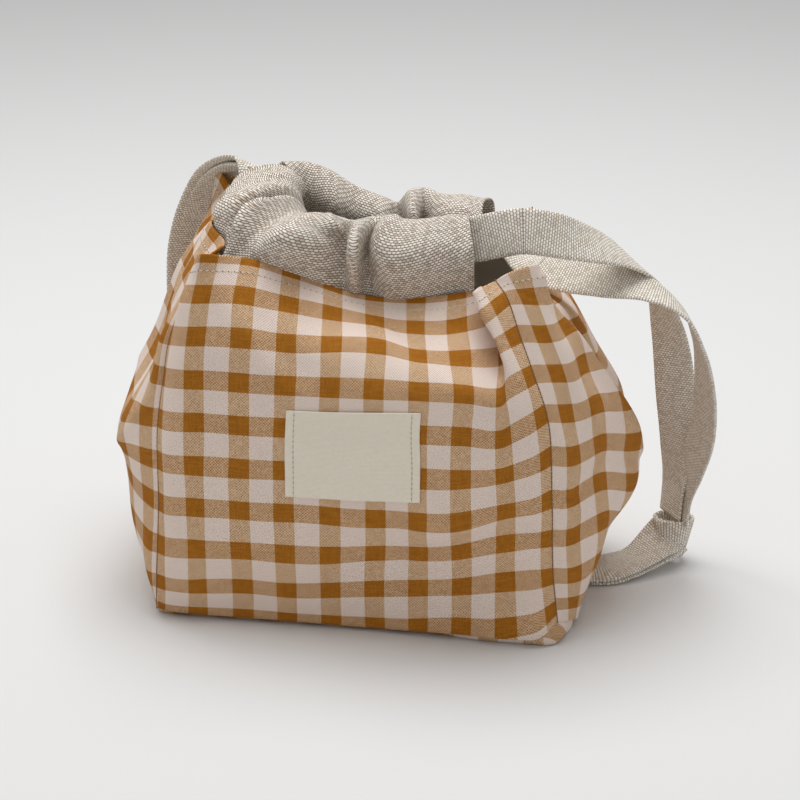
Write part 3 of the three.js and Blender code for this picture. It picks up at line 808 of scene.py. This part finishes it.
def collar_uv(ring):
    """Cloth coordinates in mm, with the drift between the rings' ends evened out."""
    count = len(ring)
    sideways = np.linalg.norm(np.diff(ring, axis=0), axis=2)
    along = np.vstack([np.zeros(ring.shape[1]), np.cumsum(sideways, axis=0)])
    drift = along - along[:, :SKIN_STEPS].mean(axis=1, keepdims=True)
    kernel = np.exp(-((np.arange(-SLOW_REACH, SLOW_REACH + 1) / SLOW_WIDTH) ** 2))
    kernel /= kernel.sum()
    padded = np.pad(drift, ((SLOW_REACH, SLOW_REACH), (0, 0)), mode="edge")
    slow = sum(w * padded[i : i + count] for i, w in enumerate(kernel))
    upwards = np.linalg.norm(np.diff(ring, axis=1), axis=2)
    around = np.hstack([np.zeros((count, 1)), np.cumsum(upwards, axis=1)])
    return np.stack([along - slow, around], axis=-1)


def collar_ring(stations, folds, seed):
    """Closed rings of the collar's outside, from one hemmed end to the other."""
    stations = np.array(stations, float)
    last = len(stations) - 1
    k = np.linspace(0, last, last * STATION_STEPS + 1)
    lines = spline(np.arange(last + 1), stations, k)
    t = np.linspace(0, 1, SKIN_STEPS)
    skin = spline(SECTION_SHARES, lines.transpose(1, 0, 2), t).transpose(1, 0, 2)
    closing = np.linspace(0, 1, FOOT_STEPS + 2)[1:-1, None]
    foot = skin[:, -1][:, None] * (1 - closing) + skin[:, 0][:, None] * closing
    ring = np.concatenate([skin, foot], axis=1)
    kk, tt = np.meshgrid(k, np.r_[t, np.ones(FOOT_STEPS)], indexing="ij")
    from_crest = np.abs(tt - 0.5)
    along, around = kk * STATION_MM, tt * SECTION_MM
    lines_mm = []
    for line, width, height in folds:
        lines_mm.append(([(a * STATION_MM, b * SECTION_MM) for a, b in line], width, height))
    lift = creases(along, around, lines_mm, FOLD_POWER)
    lift += waves(along, around * 0.4, seed, 0.7, 16)
    lift *= 0.5 + 0.5 * smoothstep(0.02, 0.14, from_crest)
    lift[:, SKIN_STEPS:] = 0
    closer = pinches(along, around, lines_mm)
    closer *= smoothstep(0.06, 0.15, from_crest)[:, :, None]
    closer[:, SKIN_STEPS:] = 0
    along_way = unit(np.gradient(ring, axis=0))
    around_way = unit(np.gradient(ring, axis=1))
    ring = ring + ring_normals(ring) * lift[:, :, None]
    return ring + along_way * closer[:, :, :1] + around_way * closer[:, :, 1:]


def swing(obj):
    """Bake a piece of the collar's placement into its mesh."""
    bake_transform(obj)


HALVES = {"front": (FRONT_COLLAR, FRONT_FOLDS, 5), "back": (BACK_COLLAR, BACK_FOLDS, 9)}
collars, rings = {}, {}
for half, (stations, folds, seed) in HALVES.items():
    ring = rings[half] = collar_ring(stations, folds, seed)
    collars[half] = make_tube(f"{half}_collar_cloth", ring, collar_uv(ring), LINEN, linen)
    swing(collars[half])
    place(collars[half], f"{half}_collar")


# Strands from the collar to the knots: point in mm, then the direction across.
ROUTES = {
    "right_front": [
        (70, -27.5, 178, 0, 0.4, 0.9), (82, -24, 176, 0, 0.45, 0.85),
        (95, -16, 171, -0.2, 0.65, 0.65), (108, -3, 163.5, -0.45, 0.8, 0.4),
        (119, 11, 151, -0.55, 0.8, 0.1), (126, 22, 136, -0.6, 0.8, 0),
        (130.5, 31, 115, -0.85, 0.5, 0), (134, 36.5, 86, -0.95, 0.3, 0),
        (135.5, 40.5, 58, -0.8, 0.55, 0), (134.5, 43, 38, -0.55, 0.84, 0),
        (133.5, 42.5, 22, -0.5, 0.86, 0),
    ],
    "right_back": [
        (72, 6, 152, 0, -0.9, -0.4), (84, 1, 151, 0.1, -0.85, -0.5),
        (101, -3, 150.5, 0.2, -0.85, -0.5), (122, -7, 148.5, 0.2, -0.93, -0.3),
        (138.5, -6, 138, 0.2, -0.97, 0), (145.5, -1, 122, 0.3, -0.95, 0),
        (148.5, 8, 101, 0.45, -0.88, 0), (148, 19, 75, 0.55, -0.83, 0),
        (143.5, 31, 54, 0.55, -0.84, 0), (139.3, 39.2, 38, 0.5, -0.86, 0),
        (137, 41, 22, 0.5, -0.86, 0),
    ],
    "left_front": [
        (-66, 38, 185, 0.45, 0.75, -0.45), (-77, 47, 182.5, 0.45, 0.75, -0.45),
        (-88, 54, 174.5, 0.55, 0.72, -0.45), (-97, 57.5, 159, 0.7, 0.68, -0.25),
        (-103, 61, 140, 0.8, 0.6, 0), (-105.5, 65, 116, 0.82, 0.57, 0),
        (-106, 70, 88, 0.85, 0.52, 0), (-105.5, 76, 60, 0.9, 0.4, 0), (-104.5, 79.8, 36, 1, 0.2, 0),
        (-104, 80, 24, 1, 0, 0),
    ],
    "left_back": [
        (-65, 40, 181.5, -0.45, -0.75, 0.45), (-75, 48.5, 179, -0.45, -0.75, 0.45),
        (-85.5, 55.7, 171.5, -0.55, -0.72, 0.45), (-95, 59.6, 157, -0.7, -0.68, 0.25),
        (-101, 63.4, 139, -0.8, -0.6, 0), (-103.7, 67.5, 115, -0.82, -0.57, 0),
        (-104.3, 72.6, 87, -0.85, -0.52, 0), (-104, 78.4, 59, -0.9, -0.4, 0),
        (-103.5, 76.6, 36, -1, -0.2, 0), (-103, 76.5, 24, -1, 0, 0),
    ],
}
# The stretch hidden in the casing, and the lead out of it to where the loop starts.
LEADS = {
    "right_front": [
        (12, -31, 168.5, 0, 0.2, 1), (34, -31.5, 171.5, 0, 0.2, 1), (50, -31, 174.5, 0, 0.25, 1),
    ],
    "right_back": [
        (14, 34.5, 163.8, 0, -0.5, 0.87), (24, 33.5, 163.8, 0, -0.5, 0.87),
        (35, 30, 164, 0, -0.55, 0.84), (46, 26, 163.5, 0, -0.7, 0.7), (59, 15, 156.5, 0, -0.9, 0.1),
    ],
    "left_front": [
        (-49.5, 7, 169, 0.12, 0.05, 1), (-50.2, 12, 169.5, 0.12, 0.1, 1),
        (-54.5, 22, 178, 0.4, 0.4, 0.75),
    ],
    "left_back": [
        (-31, 26, 169.5, 0, -0.15, 1), (-42, 27, 171.5, 0, -0.3, 0.95),
        (-54, 32, 177.5, -0.3, -0.5, 0.8),
    ],
}
strands, leads = {}, {}
for name, route in ROUTES.items():
    side = name.split("_")[0]
    frames = strap_frames(LEADS[name] + route)
    start = np.array(route[0][:3])
    cut = int(np.argmin(np.linalg.norm(frames[0] - start, axis=1)))
    strand = make_strap(f"{name}_strap", [f[cut:] for f in frames])
    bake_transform(strand)
    place(strand, f"{name}_strand")
    strands[name] = (strand, frames[0][cut:] * MM)
    leads[name] = make_strap(f"{name}_lead_strap", [f[: cut + 1] for f in frames])
    place(leads[name], f"{name}_lead", f"{side}_drawstring")

RUN_DROP = np.array([0, 0, 3.0])  # how far the webbing lies below the middle of the casing


def casing_run(stations):
    """Route of the webbing inside a collar's casing, along the middle of its sections."""
    route = []
    for foot, bulge, crest, inner, low in np.array(stations, float):
        middle = 0.25 * bulge + 0.5 * inner + 0.25 * crest - RUN_DROP
        route.append(tuple(middle) + tuple(unit(crest - (foot + low) / 2)))
    return route


for half, (stations, _, _) in HALVES.items():
    run = make_strap(f"{half}_run_strap", strap_frames(casing_run(stations[1:-1:2])))
    place(run, f"{half}_strap_run", f"{half}_collar")

TAILS = {
    "right_upper": [
        (134, 37, 16, 0.5, -0.3, -0.8), (128.5, 32.5, 12, 0.65, -0.6, -0.4),
        (120, 24.5, 6.8, 0.55, -0.83, -0.1), (112, 17, 5.8, 0.25, -0.95, -0.15),
        (105, 12, 5.5, 0, -0.97, -0.22), (96.5, 10, 5.4, 0, -0.97, -0.22),
    ],
    "right_lower": [
        (136, 38.5, 14, 0.5, -0.3, -0.8), (130, 33.5, 9.8, 0.65, -0.6, -0.4),
        (121, 25.5, 4.7, 0.55, -0.83, -0.1), (113, 18, 3.7, 0.25, -0.95, -0.15),
        (106.5, 13.5, 3.4, 0, -0.97, -0.22), (98.5, 12, 3.3, 0, -0.97, -0.22),
    ],
    "left_upper": [
        (-97, 79, 15, 0, 0.5, -0.8), (-88, 80, 10, 0, 0.75, -0.5), (-74, 83, 6, 0, 0.95, -0.2),
        (-58, 84, 5.4, 0, 0.97, -0.2),
    ],
    "left_lower": [
        (-99, 81, 13, 0, 0.5, -0.8), (-90, 82, 8, 0, 0.75, -0.5), (-75, 85, 4, 0, 0.95, -0.2),
        (-62, 86, 3.4, 0, 0.97, -0.2),
    ],
}
tails = {}
for name, route in TAILS.items():
    side = name.split("_")[0]
    tails[name] = make_strap(f"{name}_tail_strap", strap_frames(route))
    place(tails[name], f"{name}_tail", f"{side}_loop")

KNOT_RADII, KNOT_HEIGHT = (6.2, 5.2), 12.5
KNOT_GROWTH = 0.3  # how much wider the webbing ends than it starts
KNOT_FLARE = (0.24, 0.16)  # the knot is wider above than below
KNOT_STEPS = 20  # points to a turn


def knot_route(centre, start, turns):
    """Webbing wound round the strands, from an angle in degrees, seen from above."""
    route = []
    steps = int(abs(turns) * KNOT_STEPS)
    for i in range(steps + 1):
        share = i / steps
        a = math.radians(start + 360 * turns * share)
        grow = 1 + KNOT_GROWTH * share
        x = centre[0] + KNOT_RADII[0] * grow * math.cos(a)
        y = centre[1] + KNOT_RADII[1] * grow * math.sin(a)
        flare = (KNOT_FLARE[0] * math.cos(a), KNOT_FLARE[1] * math.sin(a), 1.0)
        route.append((x, y, KNOT_HEIGHT) + flare)
    return route


knots = {}
for side, centre, start, turns in (
    ("right", (135.0, 41.0), 640, -1.2),
    ("left", (-103.5, 78.5), 260, 1.2),
):
    knots[side] = make_strap(f"{side}_knot_strap", strap_frames(knot_route(centre, start, turns)))
    place(knots[side], f"{side}_knot", f"{side}_loop")


def stitch_tree():
    """Geometry nodes that lay short thread stitches along an edge chain."""
    tree = bpy.data.node_groups.new("stitch row", "GeometryNodeTree")
    inputs = {}
    for name, kind in (
        ("Geometry", "Geometry"), ("Pitch", "Float"), ("Length", "Float"),
        ("Width", "Float"), ("Thread", "Material"),
    ):
        socket = tree.interface.new_socket(name, in_out="INPUT", socket_type="NodeSocket" + kind)
        inputs[name] = socket.identifier
    tree.interface.new_socket("Geometry", in_out="OUTPUT", socket_type="NodeSocketGeometry")
    given = tree.nodes.new("NodeGroupInput").outputs
    pitch, length, width = given["Pitch"], given["Length"], given["Width"]
    curve = add_node(tree, "GeometryNodeMeshToCurve", Mesh=given["Geometry"])
    kind = "GeometryNodeResampleCurve"
    spaced = add_node(tree, kind, mode="LENGTH", Curve=curve, Length=pitch)
    bead = add_node(tree, "GeometryNodeMeshUVSphere", Segments=8, Rings=6, Radius=0.5)
    size = add_node(tree, "ShaderNodeCombineXYZ", length, width, width)
    stitch = add_node(tree, "GeometryNodeTransform", Geometry=bead, Scale=size)
    tangent = add_node(tree, "GeometryNodeInputTangent")
    turn = add_node(tree, "FunctionNodeAlignRotationToVector", axis="X", Vector=tangent)
    kind = "GeometryNodeInstanceOnPoints"
    row = add_node(tree, kind, Points=spaced, Instance=stitch, Rotation=turn)
    row = add_node(tree, "GeometryNodeRealizeInstances", Geometry=row)
    row = add_node(tree, "GeometryNodeSetMaterial", Geometry=row, Material=given["Thread"])
    tree.links.new(row, tree.nodes.new("NodeGroupOutput").inputs[0])
    return tree, inputs


STITCHES, STITCH_INPUTS = stitch_tree()


def stitch_rows(name, chains, pitch, length, width, stuff):
    """One object of all the stitches along chains of points in mm."""
    points, edges = [], []
    for chain in chains:
        first = len(points)
        points += [tuple(p) for p in np.asarray(chain) * MM]
        edges += [(first + i, first + i + 1) for i in range(len(chain) - 1)]
    mesh = bpy.data.meshes.new(name)
    mesh.from_pydata(points, edges, [])
    obj = add_object(name, mesh)
    modifier = obj.modifiers.new("stitches", "NODES")
    modifier.node_group = STITCHES
    values = {"Pitch": pitch * MM, "Length": length * MM, "Width": width * MM, "Thread": stuff}
    for key, value in values.items():
        modifier[STITCH_INPUTS[key]] = value
    bpy.context.view_layer.update()
    shown = obj.evaluated_get(bpy.context.evaluated_depsgraph_get())
    made = bpy.data.meshes.new_from_object(shown)
    obj.modifiers.remove(modifier)
    made.shade_smooth()
    obj.data = made
    return obj


EDGE_STITCH = 8.0  # from the top edge to its stitch row
EDGE_PITCH, LABEL_PITCH = 2.6, 2.4  # from one stitch to the next
LABEL_ROWS = (-26.5, 26.5)  # stitch rows of the label, from its middle
edge_chains = []
for side in RAILS:
    grid, _, v = sheets[side]
    row = int(np.argmin(np.abs(v[:, 0] - (PANEL - EDGE_STITCH))))
    edge_chains.append((grid[row] + grid_normals(grid)[row] * 0.05)[2:-2])
edge_stitches = stitch_rows("edge_stitches", edge_chains, EDGE_PITCH, 1.7, 0.5, thread)
place(edge_stitches, body="bag")
# Dark lines along the four corner seams: painted shadow of the seam grooves.
seam_chains = [sheets[side][0][:, 0] for side in RAILS]
corner_seam_shadows = stitch_rows("corner_seam_shadows", seam_chains, 2.0, 2.5, 0.6, seam_shade)
place(corner_seam_shadows, body="bag")
up = np.linspace(-LABEL_H / 2 + 0.6, LABEL_H / 2 - 0.6, 60)
label_chains = [on_label(np.full_like(up, across), up, 0.06) for across in LABEL_ROWS]
label_stitches = stitch_rows("label_stitches", label_chains, LABEL_PITCH, 1.6, 0.45, thread)
place(label_stitches, body="bag")
# The hem's stitch row takes the painted stitch shade, dark for the shadows of its stitches.
hem_chain = rings["front"][12, 4:42]
hem_stitches = stitch_rows("hem_stitches", [hem_chain], 2.6, 1.0, 0.5, painted_stitch_shade)
swing(hem_stitches)
place(hem_stitches)
# Painted shadows between two stitches: dark beads sunk in the cloth where shade falls between the
# stitches.
painted_stitch_shadows = {}
for name, chains, pitch, slot in (
    ("edge_pricks", edge_chains, EDGE_PITCH, "lining"),
    ("label_pricks", label_chains, LABEL_PITCH, "label"),
):
    shifted = []
    for chain in chains:
        run = path_length(chain)
        at = np.linspace(pitch / 2, run[-1] - pitch / 2, len(chain))
        shifted.append(np.stack([np.interp(at, run, axis) for axis in chain.T], axis=1))
    painted_stitch_shadows[name] = stitch_rows(name, shifted, pitch, 0.65, 0.5, painted_stitch_shade)
    place(painted_stitch_shadows[name], body="bag")

# Gather the pieces that go with each strand, whose path is kept in metres: its lead, and on a front
# strand its knot and both tails.
for name, (strand, path) in strands.items():
    side, half = name.split("_")
    pieces = [leads[name]]
    if half == "front":
        pieces += [knots[side], tails[f"{side}_upper"], tails[f"{side}_lower"]]

# Stage: a plain floor, an even sky and one softbox over the bag.
FLOOR_GREY = (0.785, 0.785, 0.782, 1.0)
FLOOR = [(-6, -3, 0), (6, -3, 0), (6, 9, 0), (-6, 9, 0)]
SKY = 0.46
SOFTBOX_AT, SOFTBOX_TO = Vector((-0.1, 0.2, 1.4)), Vector((0.0, 0.0, 0.08))
SOFTBOX_SIZE, SOFTBOX_POWER = 1.1, 15.0

matt = Shader("floor", 0.9, 0.0)
matt.colour(FLOOR_GREY)
floor_mesh = bpy.data.meshes.new("floor")
floor_mesh.from_pydata(FLOOR, [], [(0, 1, 2, 3)])
floor_mesh.materials.append(matt.material)
add_object("floor", floor_mesh)

scene = bpy.context.scene
scene.world = bpy.data.worlds.new("studio")
scene.world.use_nodes = True
sky = scene.world.node_tree.nodes["Background"]
sky.inputs[0].default_value = (1.0, 1.0, 1.0, 1.0)
sky.inputs[1].default_value = SKY

light = bpy.data.lights.new("softbox", "AREA")
light.shape = "SQUARE"
light.size = SOFTBOX_SIZE
light.energy = SOFTBOX_POWER
softbox = add_object("softbox", light)
softbox.location = SOFTBOX_AT
softbox.rotation_euler = (SOFTBOX_TO - SOFTBOX_AT).to_track_quat("-Z", "Y").to_euler()

# Camera: the photograph's view, with the aim moved to the right and up, in metres.
AZIMUTH, ELEVATION = math.radians(9.9), math.radians(20.0)
DISTANCE, LENS, SENSOR = 1.1, 108.27, 36.0
AIM_RIGHT, AIM_UP = 0.0109, 0.0867
level = math.cos(ELEVATION)
back_way = Vector((math.sin(AZIMUTH) * level, -math.cos(AZIMUTH) * level, math.sin(ELEVATION)))
right_way = Vector((math.cos(AZIMUTH), math.sin(AZIMUTH), 0.0))
up_way = back_way.cross(right_way)
eye = right_way * AIM_RIGHT + Vector((0, 0, AIM_UP)) + back_way * DISTANCE
camera_data = bpy.data.cameras.new("camera")
camera_data.sensor_width = SENSOR
camera_data.lens = LENS
camera = add_object("camera", camera_data)
camera.matrix_world = Matrix((
    (right_way.x, up_way.x, back_way.x, eye.x),
    (right_way.y, up_way.y, back_way.y, eye.y),
    (right_way.z, up_way.z, back_way.z, eye.z),
    (0, 0, 0, 1),
))
scene.camera = camera
scene.view_settings.view_transform = "Standard"
